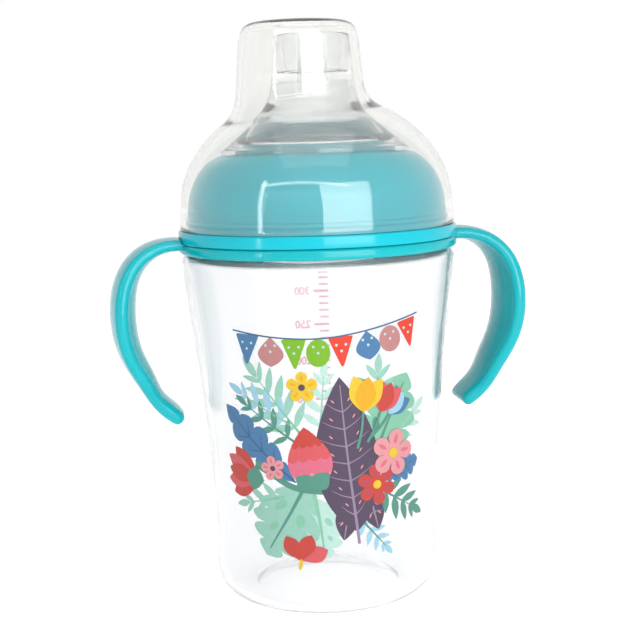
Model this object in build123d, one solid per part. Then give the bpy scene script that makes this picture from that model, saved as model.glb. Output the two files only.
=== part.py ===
from build123d import *
import math
import os

# Sippy cup with two handles, a screw-on silicone spout and a clear dome cap.
# Millimetres. Origin at the centre of the base, on the surface it stands on, +Z up along the cup's axis.
# The handles reach along +X and -X. The drinker's side with the printed picture faces -Y.

# ---------------------------------------------------------------- bottle
base_radius = 34.6          # body, just above the rounded heel
waist_radius = 34.4         # slimmest part of the body
shoulder_radius = 41.8      # widest part of the body, under the handle ring
shoulder_height = 107.2     # flat top of the shoulder, where the handle ring sits
waist_height = 22.0
bottle_wall = 2.0
lower_share = (0.29, 0.17)  # points on the side: share of the rise above the waist, share of the flare
middle_share = (0.59, 0.48)
upper_share = (0.85, 0.83)
heel_radius = 9.0
shoulder_round = 3.0
foot_width = 3.0            # flat annulus that the cup stands on
base_rise = 6.0             # how far the base is pushed up inside the foot
neck_radius = 35.0
neck_height = 18.3
neck_wall = 1.6
neck_lip_round = 0.5

# ---------------------------------------------------------------- thread between bottle and collar
thread_pitch = 5.0
thread_turns = 1.25
thread_depth = 1.3
thread_root_width = 2.2
thread_crest_width = 1.2
thread_root_bite = 0.3      # how deep a ridge is rooted in its wall, so the two fuse
thread_crest_clearance = 0.7
thread_flank_clearance = 0.15
thread_start = 7.8          # bottle ridge's start above the shoulder

# ---------------------------------------------------------------- handle ring
ring_thickness = 3.2
ring_overhang = 0.7         # how far the ring and the collar's flange stand out past the shoulder
ring_edge_round = 1.1
ring_fit = 0.25             # radial clearance on the bottle's spigot
ring_axial_fit = 0.1        # clearance under the collar's flange
spigot_clearance = 0.4      # the spigot and the ring clear the thread's crest by this
finger_room = 15.8          # from the shoulder's side to the crowned inner face of the strap
handle_length = 53.2        # root line down to the middle of the tip
handle_tip_room = 9.8       # from the waisted body to the middle of the tip
handle_root_share = 0.86    # height of the strap's root line, as a share of the ring's thickness
root_straight = 5.5         # how far the strap leaves the ring before it bends
knee_inset = 5.6            # the strap's middle line inside its farthest reach, at four heights
brow_inset = 1.0
calf_inset = 2.5
ankle_inset = 8.6
knee_drop = 0.075           # those heights, and the farthest reach's, as shares of the handle's length
brow_drop = 0.23
far_drop = 0.41
calf_drop = 0.63
ankle_drop = 0.84
root_bury = 2.0             # how far inside the ring the strap starts
strap_edge = 4.2            # thickness along the strap's rounded edges
strap_width_root = 14.0
strap_width_grip = 25.0
strap_width_tip = 15.0
strap_crown_out = 2.4       # extra thickness of the crowned outer face at the grip
strap_crown_in = 1.2
strap_crown_least = 0.25
strap_root_edge = 3.0
strap_tip_round = 1.9
strap_sections = 11

# ---------------------------------------------------------------- screw collar
flange_thickness = 3.6
flange_edge_round = 1.3
collar_wall = 2.4
collar_straight = 3.9       # plain wall above the flange, up to where the dome begins
dome_centre_radius = 26.0
plate_rise = 6.9            # from the seat's ceiling to the underside of the plate
collar_plate = 2.0          # thickness of the plate round the opening
plate_margin = 0.2          # how far the plate runs out past the spout's skirt
collar_plate_width = 2.7    # how far the dome runs in past the spout's skirt
lip_wall = 1.5
lip_height = 2.0
seat_width = 3.6            # ceiling that presses on the spout's flange

# ---------------------------------------------------------------- spout
spout_flange = 1.8
spout_wall = 1.8
spout_fit = 0.3             # silicone to collar
skirt_radius = 28.5
skirt_edge = 1.4
throat_radius = 20.8        # passage where it goes through the collar
tip_radius = 11.4
tube_radius = 12.7          # where the tube meets the flare
tip_height = 35.0           # rim above the collar's top plate
tube_height = 20.8          # tube's foot above the collar's top plate
tip_rim_round = 0.9
well_radius = 9.3
well_floor_radius = 8.3
well_depth = 11.7
well_floor = 2.3
well_corner = 1.2
valve_radius = 4.5
valve_height = 6.3
valve_wall = 1.1
slit_length = 6.0
slit_width = 0.4
valve_crown = 3.6           # height of the valve's domed top
throat_straight = 2.6       # plain wall of the passage above the collar's plate
tube_wall = 2.25            # at the tube's foot, under the well's floor
flare_shares = ((0.29, 0.55), (0.62, 0.13))         # outside: share of the rise, share of the spread
inner_flare_shares = ((0.40, 0.36), (0.66, 0.065))  # inside, to be moved in by the wall

# ---------------------------------------------------------------- dome cap
cap_wall = 1.5
cap_gap = 1.0               # cap's inner wall to the collar's wall
cap_bead = 0.8              # retaining bead on the collar, inside the cap's rim
cap_bead_height = 2.6
cap_rim_fit = 0.1
cap_skirt = 5.9             # drafted wall up to where the dome begins
cap_draft = 0.4
cap_dome_height = 34.2      # dome's half height, if it were complete
chimney_offset = -4.0       # the chimney stands off the cup's axis, towards -X
chimney_foot_radius = 20.5
chimney_foot_share = 0.6    # where the chimney's cone starts, as a share of the dome's height
chimney_top_radius = 17.7
chimney_corner = 4.2
chimney_headroom = 4.0      # spout's rim to the outside of the cap's top
chimney_blend = 3.0

# ---------------------------------------------------------------- values that follow
neck_top = shoulder_height + neck_height
thread_crest = neck_radius + thread_depth
spigot_radius = thread_crest + spigot_clearance
ring_inner = spigot_radius + ring_fit
ring_outer = shoulder_radius + ring_overhang
ring_top = shoulder_height + ring_thickness
flange_bottom = ring_top + ring_axial_fit
flange_top = flange_bottom + flange_thickness
collar_bore = thread_crest + thread_crest_clearance
collar_radius = collar_bore + collar_wall
dome_base = flange_top + collar_straight
ceiling = neck_top + spout_flange
seat_outer = neck_radius + spout_fit * 2
seat_inner = seat_outer - seat_width
plate_bottom = ceiling + plate_rise
plate_top = plate_bottom + collar_plate
lip_inner = throat_radius + spout_wall + spout_fit
lip_outer = lip_inner + lip_wall
lip_top = plate_top + lip_height
spout_top = plate_top + tip_height
spout_tube_foot = plate_top + tube_height
floor_top = spout_top - well_depth
floor_bottom = floor_top - well_floor
cap_inner = collar_radius + cap_gap
cap_radius = cap_inner + cap_wall
cap_bottom = flange_top + cap_rim_fit
cap_dome_base = cap_bottom + cap_skirt
cap_dome_radius = cap_radius - cap_draft
cap_top = spout_top + chimney_headroom
handle_root = shoulder_height + ring_thickness * handle_root_share
handle_reach = shoulder_radius + finger_room + strap_edge / 2 + strap_crown_in
handle_tip_radius = waist_radius + handle_tip_room
plate_radius = skirt_radius + plate_margin
ridge_gap = (thread_root_width + thread_crest_width) / 2 + thread_flank_clearance

os.makedirs("parts", exist_ok=True)


def turned(edges):
    """Solid of revolution about the cup's axis from a closed outline in (radius, height)."""
    return revolve(Plane.XZ * make_face(edges), Axis.Z)


def body_side(inset):
    """Side of the body between the heel and the shoulder, moved in by inset."""
    low = (base_radius - inset, heel_radius)
    waist = (waist_radius - inset, waist_height)
    rise = shoulder_height - shoulder_round - waist_height
    flare = shoulder_radius - waist_radius
    points = [low, waist]
    for height_share, flare_share in (lower_share, middle_share, upper_share):
        points.append((waist_radius + flare * flare_share - inset, waist_height + rise * height_share))
    points.append((shoulder_radius - inset, shoulder_height - shoulder_round))
    return Spline(*points, tangents=[(-0.02, 1), (0.06, 1)])


def ridge(root_radius, crest_radius, start_height):
    """One helical thread ridge, from its root to its crest, as a solid of its own."""
    path = Helix(pitch=thread_pitch, height=thread_pitch * thread_turns, radius=root_radius)
    across = crest_radius - root_radius
    section = Plane(origin=path @ 0, x_dir=(1, 0, 0), z_dir=path % 0) * make_face(
        Polyline(
            (0, -thread_root_width / 2),
            (across, -thread_crest_width / 2),
            (across, thread_crest_width / 2),
            (0, thread_root_width / 2),
            close=True,
        )
    )
    return Pos(0, 0, start_height) * sweep(section, path=path, is_frenet=True)


def make_bottle():
    """Cup body with its rounded heel, pushed-up base, shoulder, spigot and threaded neck."""
    foot = base_radius - heel_radius
    recess = foot - foot_width
    round_height = shoulder_height - shoulder_round
    round_centre = shoulder_radius - shoulder_round
    neck_inner = neck_radius - neck_wall
    side = body_side(0)
    inner_side = body_side(bottle_wall)
    dish = (recess**2 + base_rise**2) / (2 * base_rise)
    dish_angle = math.degrees(math.asin(recess / dish))
    outline = [
        CenterArc((0, base_rise - dish), dish, 90 - dish_angle, dish_angle),
        Line((recess, 0), (foot, 0)),
        CenterArc((foot, heel_radius), heel_radius, -90, 90),
        side,
        CenterArc((round_centre, round_height), shoulder_round, 0, 90),
        Polyline(
            (round_centre, shoulder_height),
            (spigot_radius, shoulder_height),
            (spigot_radius, ring_top),
            (neck_radius, ring_top + spigot_radius - neck_radius),
            (neck_radius, neck_top - neck_lip_round),
            (neck_radius - neck_lip_round, neck_top),
            (neck_inner, neck_top),
            (neck_inner, shoulder_height - bottle_wall),
            (round_centre, shoulder_height - bottle_wall),
        ),
        CenterArc((round_centre, round_height), shoulder_round - bottle_wall, 0, 90),
        inner_side,
        CenterArc((foot, heel_radius), heel_radius - bottle_wall, -90, 90),
        Line((foot, bottle_wall), (recess, bottle_wall)),
        CenterArc((0, base_rise + bottle_wall - dish), dish, 90 - dish_angle, dish_angle),
        Line((0, base_rise + bottle_wall), (0, base_rise)),
    ]
    thread = ridge(neck_radius - thread_root_bite, thread_crest, shoulder_height + thread_start)
    return turned(outline) + thread


def strap_section(along, width, edge, crown_out, crown_in, path):
    """Strap's cross-section: rounded edges, a crowned outer face and a flatter inner one."""
    half = width / 2 - edge / 2
    plane = Plane(origin=path @ along, x_dir=(0, 1, 0), z_dir=path % along)
    return plane * make_face(
        [
            ThreePointArc((-half, edge / 2), (0, edge / 2 + crown_in), (half, edge / 2)),
            ThreePointArc((half, edge / 2), (width / 2, 0), (half, -edge / 2)),
            ThreePointArc((half, -edge / 2), (0, -edge / 2 - crown_out), (-half, -edge / 2)),
            ThreePointArc((-half, -edge / 2), (-width / 2, 0), (-half, edge / 2)),
        ]
    )


def make_handle():
    """One ear-shaped strap on the +X side, from inside the ring to its free tip."""
    points = [(ring_inner + root_bury, 0, handle_root), (ring_outer + root_straight, 0, handle_root)]
    for inset, drop in (
        (knee_inset, knee_drop),
        (brow_inset, brow_drop),
        (0, far_drop),
        (calf_inset, calf_drop),
        (ankle_inset, ankle_drop),
    ):
        points.append((handle_reach - inset, 0, handle_root - handle_length * drop))
    points.append((handle_tip_radius, 0, handle_root - handle_length))
    path = Spline(*points, tangents=[(1, 0, 0), (-0.75, 0, -0.66)])
    round_share = strap_tip_round / path.length
    stations = [(1 - round_share) * index / (strap_sections - 1) for index in range(strap_sections)]
    stations += [1 - round_share * (1 - step) for step in (0.5, 0.8, 0.96)]
    sections = []
    for along in stations:
        swell = math.sin(math.pi * min(1.0, along * 1.02)) ** 1.5
        past = max(0.0, (along - 1 + round_share) / round_share)
        shrink = math.sqrt(1 - past**2)
        tuck = strap_tip_round * (1 - shrink) * 2
        end_width = strap_width_root + (strap_width_tip - strap_width_root) * along
        width = end_width + (strap_width_grip - end_width) * swell - tuck
        edge = strap_root_edge + (strap_edge - strap_root_edge) * min(1.0, along * 3)
        crown_out = strap_crown_least + (strap_crown_out - strap_crown_least) * swell
        crown_in = strap_crown_least + (strap_crown_in - strap_crown_least) * swell
        sections.append(strap_section(along, width, edge - tuck, crown_out, crown_in, path))
    return loft(sections)


def make_handle_ring():
    """Ring that slips over the spigot, with its two handles, as one moulding."""
    band = turned(
        [
            Polyline(
                (ring_inner, shoulder_height),
                (ring_outer - ring_edge_round, shoulder_height),
            ),
            CenterArc(
                (ring_outer - ring_edge_round, shoulder_height + ring_edge_round), ring_edge_round, -90, 90
            ),
            Line((ring_outer, shoulder_height + ring_edge_round), (ring_outer, ring_top - ring_edge_round)),
            CenterArc((ring_outer - ring_edge_round, ring_top - ring_edge_round), ring_edge_round, 0, 90),
            Polyline(
                (ring_outer - ring_edge_round, ring_top),
                (ring_inner, ring_top),
                (ring_inner, shoulder_height),
            ),
        ]
    )
    strap = make_handle()
    standing = (Align.CENTER, Align.CENTER, Align.MIN)
    space_height = flange_thickness + strap_width_root
    ring_space = Pos(0, 0, flange_bottom) * Cylinder(ring_outer + spout_fit, space_height, align=standing)
    bore = Cylinder(ring_inner, cap_top, align=standing)
    return band + strap + mirror(strap, Plane.YZ) - ring_space - bore


def make_collar():
    """Screw collar: flange, bead for the cap, dome, plate with its raised lip, and inner thread."""
    dome_width = collar_radius - dome_centre_radius
    dome_end = math.acos((plate_radius - dome_centre_radius) / dome_width)
    dome_height = (plate_top - dome_base) / math.sin(dome_end)
    dome_sweep = math.degrees(dome_end)
    edge_centre = ring_outer - flange_edge_round
    flange_chamfer = flange_top - flange_edge_round / 2
    bead_low = flange_top + cap_bead_height - cap_bead
    bead_mid = flange_top + cap_bead_height
    bead_high = flange_top + cap_bead_height + cap_bead
    outline = [
        Line((collar_bore, flange_bottom), (edge_centre, flange_bottom)),
        CenterArc((edge_centre, flange_bottom + flange_edge_round), flange_edge_round, -90, 90),
        Line((ring_outer, flange_bottom + flange_edge_round), (ring_outer, flange_chamfer)),
        Polyline(
            (ring_outer, flange_chamfer),
            (ring_outer - flange_edge_round / 2, flange_top),
            (collar_radius, flange_top),
            (collar_radius, bead_low),
        ),
        ThreePointArc(
            (collar_radius, bead_low), (collar_radius + cap_bead, bead_mid), (collar_radius, bead_high)
        ),
        Line((collar_radius, bead_high), (collar_radius, dome_base)),
        EllipticalCenterArc(
            (dome_centre_radius, dome_base), dome_width, dome_height, 0, arc_size=dome_sweep
        ),
        Polyline(
            (plate_radius, plate_top),
            (lip_outer, plate_top),
            (lip_outer, lip_top - lip_wall / 3),
            (lip_outer - lip_wall / 3, lip_top),
            (lip_inner, lip_top),
            (lip_inner, plate_bottom),
            (seat_inner - collar_plate_width, plate_bottom),
            (seat_inner, plate_bottom - collar_plate),
            (seat_inner, ceiling),
            (seat_outer, ceiling),
            (seat_outer, neck_top - collar_plate),
            (collar_bore, neck_top - collar_plate - collar_bore + seat_outer),
            (collar_bore, flange_bottom),
        ),
    ]
    start = shoulder_height + thread_start - ridge_gap
    thread = ridge(collar_bore + thread_root_bite, neck_radius + thread_crest_clearance, start)
    return turned(outline) + thread


def make_spout():
    """Silicone spout: clamping flange, groove over the collar's lip, flare, tube, well and valve."""
    hat_outer = seat_inner - spout_fit
    hat_top = plate_bottom - spout_fit
    throat_outer = throat_radius + spout_wall
    groove_top = lip_top + spout_fit
    groove_outer = lip_outer + spout_fit
    skirt_bottom = plate_top + spout_fit / 2
    skirt_top = skirt_bottom + skirt_edge
    rise = spout_tube_foot - skirt_top
    spread = skirt_radius - tube_radius
    outer_points = [(tube_radius + spread * out, skirt_top + rise * up) for up, out in flare_shares]
    flare = Spline(
        (skirt_radius, skirt_top),
        *outer_points,
        (tube_radius, spout_tube_foot),
        tangents=[(-1, 0.6), (-0.06, 1)],
    )
    inner_points = [
        (tube_radius + spread * out - spout_wall, skirt_top + rise * up) for up, out in inner_flare_shares
    ]
    inner_flare = Spline(
        (throat_radius, plate_top + throat_straight),
        *inner_points,
        (tube_radius - tube_wall, floor_bottom),
        tangents=[(-0.25, 1), (-0.03, 1)],
    )
    rim_centre = tip_radius - tip_rim_round
    floor_edge = well_floor_radius - well_corner
    outline = [
        Polyline(
            (throat_radius, hat_top - spout_wall),
            (hat_outer - spout_wall * 2, hat_top - spout_wall),
            (hat_outer - spout_wall, hat_top - spout_wall * 2),
            (hat_outer - spout_wall, neck_top),
            (neck_radius, neck_top),
            (neck_radius, ceiling),
            (hat_outer, ceiling),
            (hat_outer, hat_top - collar_plate),
            (hat_outer - collar_plate_width, hat_top),
            (throat_outer, hat_top),
            (throat_outer, groove_top),
            (groove_outer, groove_top),
            (groove_outer, skirt_bottom),
            (skirt_radius, skirt_bottom),
            (skirt_radius, skirt_top),
        ),
        flare,
        Line((tube_radius, spout_tube_foot), (tip_radius, spout_top - tip_rim_round)),
        CenterArc((rim_centre, spout_top - tip_rim_round), tip_rim_round, 0, 90),
        Polyline(
            (rim_centre, spout_top),
            (well_radius + tip_rim_round / 2, spout_top),
            (well_radius, spout_top - tip_rim_round / 2),
            (well_floor_radius, floor_top + well_corner),
        ),
        RadiusArc((well_floor_radius, floor_top + well_corner), (floor_edge, floor_top), well_corner),
        Polyline(
            (floor_edge, floor_top),
            (0, floor_top),
            (0, floor_bottom),
            (tube_radius - tube_wall, floor_bottom),
        ),
        inner_flare,
        Line((throat_radius, plate_top + throat_straight), (throat_radius, hat_top - spout_wall)),
    ]
    shell = turned(outline)
    straight = valve_height - valve_crown
    dome = turned(
        [
            Polyline((valve_radius, floor_bottom), (valve_radius, floor_top + straight)),
            EllipticalCenterArc((0, floor_top + straight), valve_radius, valve_crown, 0, arc_size=90),
            Polyline((0, floor_top + valve_height), (0, floor_bottom), (valve_radius, floor_bottom)),
        ]
    )
    hollow_radius = valve_radius - valve_wall
    hollow_bottom = floor_bottom - valve_wall
    hollow_top = floor_top + valve_height - valve_wall
    hollow = turned(
        [
            Polyline((hollow_radius, hollow_bottom), (hollow_radius, floor_top + straight)),
            EllipticalCenterArc(
                (0, floor_top + straight), hollow_radius, valve_crown - valve_wall, 0, arc_size=90
            ),
            Polyline((0, hollow_top), (0, hollow_bottom), (hollow_radius, hollow_bottom)),
        ]
    )
    slit = Pos(0, 0, floor_top + valve_height) * Box(slit_width, slit_length, valve_wall * 4)
    return shell + dome - hollow - slit


def cap_shape(inset):
    """Outside of the cap, or its hollow when inset is the wall: drafted skirt, dome and chimney."""
    rim = cap_bottom
    dome = turned(
        [
            Polyline(
                (0, rim),
                (cap_radius - inset, rim),
                (cap_dome_radius - inset, cap_dome_base),
            ),
            EllipticalCenterArc(
                (0, cap_dome_base), cap_dome_radius - inset, cap_dome_height - inset, 0, arc_size=90
            ),
            Line((0, cap_dome_base + cap_dome_height - inset), (0, rim)),
        ]
    )
    foot = cap_dome_base + cap_dome_height * chimney_foot_share
    chimney = Pos(chimney_offset, 0, foot) * Cone(
        chimney_foot_radius - inset,
        chimney_top_radius - inset,
        cap_top - inset - foot,
        align=(Align.CENTER, Align.CENTER, Align.MIN),
    )
    top_edge = chimney.edges().sort_by(Axis.Z)[-1]
    chimney = fillet(top_edge, chimney_corner - inset)
    whole = dome + chimney
    joint = whole.edges().filter_by(lambda edge: edge.geom_type not in (GeomType.LINE, GeomType.CIRCLE))
    seam = joint.filter_by(lambda edge: edge.center().Z > foot)
    return fillet(seam, chimney_blend)


def make_cap():
    """Clear dome cap with its off-centre chimney."""
    return cap_shape(0) - cap_shape(cap_wall)


nodes = {
    "bottle": make_bottle,
    "handle_ring": make_handle_ring,
    "collar": make_collar,
    "spout": make_spout,
    "cap": make_cap,
}

for name, make in nodes.items():
    shape = make()
    shape.label = name
    export_step(shape, f"parts/{name}.step")
    print(name, "volume", round(shape.volume), "mm3, solids", len(shape.solids()))
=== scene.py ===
import logging
import math
from collections.abc import Callable, Iterable, Sequence
from dataclasses import dataclass, field
from enum import Enum
from functools import cached_property

import bmesh
import bpy
from mathutils import Matrix, Vector
from mathutils.geometry import tessellate_polygon


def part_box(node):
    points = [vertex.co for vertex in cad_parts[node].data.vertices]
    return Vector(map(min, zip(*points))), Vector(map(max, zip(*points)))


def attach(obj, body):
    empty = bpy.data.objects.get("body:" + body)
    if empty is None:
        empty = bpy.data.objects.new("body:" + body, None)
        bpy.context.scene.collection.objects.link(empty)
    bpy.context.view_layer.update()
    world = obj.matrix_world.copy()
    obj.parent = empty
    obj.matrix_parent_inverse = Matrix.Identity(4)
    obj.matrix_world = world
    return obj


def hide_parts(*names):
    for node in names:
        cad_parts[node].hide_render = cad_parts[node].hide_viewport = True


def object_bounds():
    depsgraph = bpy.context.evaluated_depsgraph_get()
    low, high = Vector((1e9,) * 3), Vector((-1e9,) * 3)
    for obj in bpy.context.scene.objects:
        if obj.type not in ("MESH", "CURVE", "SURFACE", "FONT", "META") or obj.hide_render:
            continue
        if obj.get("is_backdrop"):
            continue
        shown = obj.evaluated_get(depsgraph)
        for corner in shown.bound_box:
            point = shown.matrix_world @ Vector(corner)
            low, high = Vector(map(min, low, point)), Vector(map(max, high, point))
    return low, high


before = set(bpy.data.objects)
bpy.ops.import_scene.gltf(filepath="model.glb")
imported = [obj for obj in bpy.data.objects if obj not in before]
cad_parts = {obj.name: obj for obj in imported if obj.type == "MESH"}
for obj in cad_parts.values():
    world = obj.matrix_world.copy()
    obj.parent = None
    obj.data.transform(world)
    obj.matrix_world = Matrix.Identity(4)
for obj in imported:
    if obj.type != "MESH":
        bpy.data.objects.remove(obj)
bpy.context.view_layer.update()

log = logging.getLogger("sippy_cup")

MM = 0.001
MILLILITRE = 1000.0
FRONT_TURN = -10.0
NOISE_SPAN = (0.3, 0.7)
THREAD_BURY = 0.1
NEAR = 1e-6

Point = tuple[float, float]
Place = tuple[float, float, float]
Colour = tuple[float, float, float]


class Body(Enum):
    """Moving bodies of the cup that a piece can ride on."""

    BOTTLE = "bottle"
    SPOUT = "spout"
    COLLAR = "collar"
    CAP = "cap"


class Slot(Enum):
    """Material slots that the part declares."""

    CLEAR_BODY = "clear_body"
    CLEAR_CAP = "clear_cap"
    SILICONE = "silicone"
    AQUA = "aqua_plastic"
    INK = "print_ink"


class Ink(Enum):
    """Print colours, as linear red, green and blue."""

    PLUM = (0.105, 0.069, 0.125)
    LILAC = (0.36, 0.27, 0.40)
    DENIM = (0.078, 0.238, 0.474)
    NAVY = (0.045, 0.140, 0.310)
    SKY = (0.402, 0.730, 0.914)
    MINT = (0.366, 0.701, 0.578)
    PALE_MINT = (0.58, 0.87, 0.78)
    SAGE = (0.275, 0.646, 0.451)
    PINE = (0.105, 0.347, 0.262)
    YELLOW = (0.965, 0.638, 0.028)
    AMBER = (0.930, 0.485, 0.008)
    RED = (0.672, 0.067, 0.050)
    SCARLET = (0.93, 0.055, 0.022)
    ROSE = (0.807, 0.122, 0.138)
    PINK = (0.855, 0.181, 0.283)
    BLUSH = (0.905, 0.371, 0.402)
    DUSTY = (0.61, 0.27, 0.27)
    LIME = (0.235, 0.552, 0.018)
    CRIMSON = (0.527, 0.080, 0.147)
    SCALE_PINK = (0.96, 0.10, 0.24)


class Bunting(Enum):
    """Shapes that hang on the printed string."""

    PENNANT = "pennant"
    DROP = "drop"
    DISC = "disc"

    def shape(self, width: float, height: float) -> list[Point]:
        """Draws the shape about its middle, hanging down.

        Args:
            width: Across its top.
            height: Top to bottom.

        Returns:
            The shape's closed outline.
        """
        if self is Bunting.DISC:
            return oval(width, height * 0.9, 36)
        if self is Bunting.DROP:
            return [(x, height / 2 - z) for x, z in leaf(height, width * 1.1, 0, 0.60)][::-1]
        crown = ((-0.5, 0.40), (-0.44, 0.46), (0, 0.47), (0.44, 0.46), (0.5, 0.40))
        sides = ((0.28, -0.05), (0.07, -0.46), (0, -0.5), (-0.07, -0.46), (-0.28, -0.05))
        knots = [(x * width, z * height) for x, z in (*crown, *sides, crown[0])]
        return smooth_line(knots, 4)[:-1]


# ---------------------------------------------------------------- outlines


@dataclass
class Outline:
    """An outline in (radius, height), in millimetres, drawn one stretch after another."""

    points: list[Point] = field(default_factory=list)

    def to(self, *corners: Point) -> "Outline":
        """Adds straight stretches to these corners."""
        for corner in corners:
            if not self.points or math.dist(self.points[-1], corner) > NEAR:
                self.points.append(corner)
        return self

    def arc(self, centre: Point, size: Point, start: float, sweep: float, steps: int = 10) -> "Outline":
        """Adds an arc of a circle or ellipse.

        Args:
            centre: The middle of the arc.
            size: Half width and half height.
            start: Start angle in degrees, from the direction of growing radius.
            sweep: Degrees swept, negative for clockwise.
            steps: Number of straight pieces.

        Returns:
            This outline.
        """
        for index in range(steps + 1):
            angle = math.radians(start + sweep * index / steps)
            self.to((centre[0] + size[0] * math.cos(angle), centre[1] + size[1] * math.sin(angle)))
        return self

    def through(self, knots: Sequence[Point], steps: int = 8) -> "Outline":
        """Adds a smooth curve through the knots."""
        return self.to(*smooth_line(knots, steps))


def between(p: float, q: float, r: float, s: float, share: float) -> float:
    """Catmull-Rom value at a share of the way from q to r, with p before and s after them."""
    bend = (2 * p - 5 * q + 4 * r - s) * share**2 + (3 * q - p - 3 * r + s) * share**3
    return 0.5 * (2 * q + (r - p) * share + bend)


def smooth_line(knots: Sequence[Point], steps: int) -> list[Point]:
    """Samples a Catmull-Rom curve.

    Args:
        knots: Points that the curve passes through.
        steps: Samples between two knots.

    Returns:
        The sampled points, the first and last knot included.
    """
    first = (2 * knots[0][0] - knots[1][0], 2 * knots[0][1] - knots[1][1])
    last = (2 * knots[-1][0] - knots[-2][0], 2 * knots[-1][1] - knots[-2][1])
    held = [first, *knots, last]
    found = [tuple(knots[0])]
    for a, b, c, d in zip(held, held[1:], held[2:], held[3:]):
        for index in range(1, steps + 1):
            found.append(tuple(between(p, q, r, s, index / steps) for p, q, r, s in zip(a, b, c, d)))
    return found


# ---------------------------------------------------------------- meshes


def new_piece(name: str, mesh: bpy.types.Mesh) -> bpy.types.Object:
    """Links a mesh into the scene as an object of that name."""
    piece = bpy.data.objects.new(name, mesh)
    bpy.context.scene.collection.objects.link(piece)
    return piece


def finished_mesh(
    name: str,
    work: bmesh.types.BMesh,
    crease: float = 38.0,
    closed: bool = True,
) -> bpy.types.Mesh:
    """Turns bmesh work into a smooth-shaded mesh.

    Args:
        name: Name of the mesh.
        work: The bmesh, which is freed.
        crease: Edges sharper than this many degrees stay crisp.
        closed: Whether the faces bound a solid, so that they can be turned outwards.

    Returns:
        The mesh.
    """
    if closed:
        bmesh.ops.recalc_face_normals(work, faces=work.faces)
    for face in work.faces:
        face.smooth = True
    mesh = bpy.data.meshes.new(name)
    work.to_mesh(mesh)
    work.free()
    mesh.set_sharp_from_angle(angle=math.radians(crease))
    return mesh


def grid_faces(work: bmesh.types.BMesh, rows: list[list[bmesh.types.BMVert]], closed_rows: bool) -> None:
    """Joins rows of vertices with quads, and with triangles where a row is a single vertex.

    Args:
        work: The bmesh.
        rows: Rows of equal length, or of one vertex at a pole.
        closed_rows: Whether the last row joins the first.
    """
    pairs = list(zip(rows, rows[1:]))
    if closed_rows:
        pairs.append((rows[-1], rows[0]))
    for low, high in pairs:
        count = max(len(low), len(high))
        for index in range(count):
            after = (index + 1) % count
            lower = (low[index % len(low)], low[after % len(low)])
            upper = (high[after % len(high)], high[index % len(high)])
            corners = list(dict.fromkeys((*lower, *upper)))
            if len(corners) > 2:
                work.faces.new(corners)


def around(radius: float, angle: float, height: float) -> Place:
    """Place at a radius, an angle in radians and a height about the cup's axis, in metres."""
    return (radius * MM * math.cos(angle), radius * MM * math.sin(angle), height * MM)


def lathe(name: str, outline: Outline, sides: int = 224, crease: float = 38.0) -> bpy.types.Object:
    """Turns an outline about the cup's axis.

    Args:
        name: Name of the piece.
        outline: Closed outline, or one that starts and ends on the axis.
        sides: Number of facets round the axis.
        crease: Edges sharper than this stay crisp.

    Returns:
        The new object.
    """
    work = bmesh.new()
    rows = []
    for radius, height in outline.points:
        count = 1 if radius < NEAR else sides
        angles = [2 * math.pi * side / count for side in range(count)]
        rows.append([work.verts.new(around(radius, angle, height)) for angle in angles])
    on_axis = len(rows[0]) == 1 and len(rows[-1]) == 1
    grid_faces(work, rows, not on_axis)
    return new_piece(name, finished_mesh(name, work, crease))


@dataclass
class Thread:
    """A helical thread ridge, in millimetres."""

    root: float
    crest: float
    start: float
    pitch: float = 5.0
    turns: float = 1.25
    root_width: float = 2.2
    crest_width: float = 1.2
    run_out: float = 0.06
    least: float = 0.02
    steps: int = 150

    def build(self, name: str) -> bpy.types.Object:
        """Sweeps the ridge's section along its helix, fading out at both ends.

        Args:
            name: Name of the piece.

        Returns:
            The new object.
        """
        work = bmesh.new()
        rows = []
        for index in range(self.steps + 1):
            share = index / self.steps
            fade = min(1.0, share / self.run_out, (1 - share) / self.run_out)
            height = math.sin(fade * math.pi / 2) * (1 - self.least) + self.least
            crest = self.root + (self.crest - self.root) * height
            angle = 2 * math.pi * self.turns * share
            middle = self.start + self.pitch * self.turns * share
            section = (
                (self.root, middle - self.root_width / 2),
                (crest, middle - self.crest_width / 2),
                (crest, middle + self.crest_width / 2),
                (self.root, middle + self.root_width / 2),
            )
            rows.append([work.verts.new(around(radius, angle, level)) for radius, level in section])
        grid_faces(work, rows, False)
        for row in (rows[0], rows[-1]):
            work.faces.new(row)
        return new_piece(name, finished_mesh(name, work))


# ---------------------------------------------------------------- finishes


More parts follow.
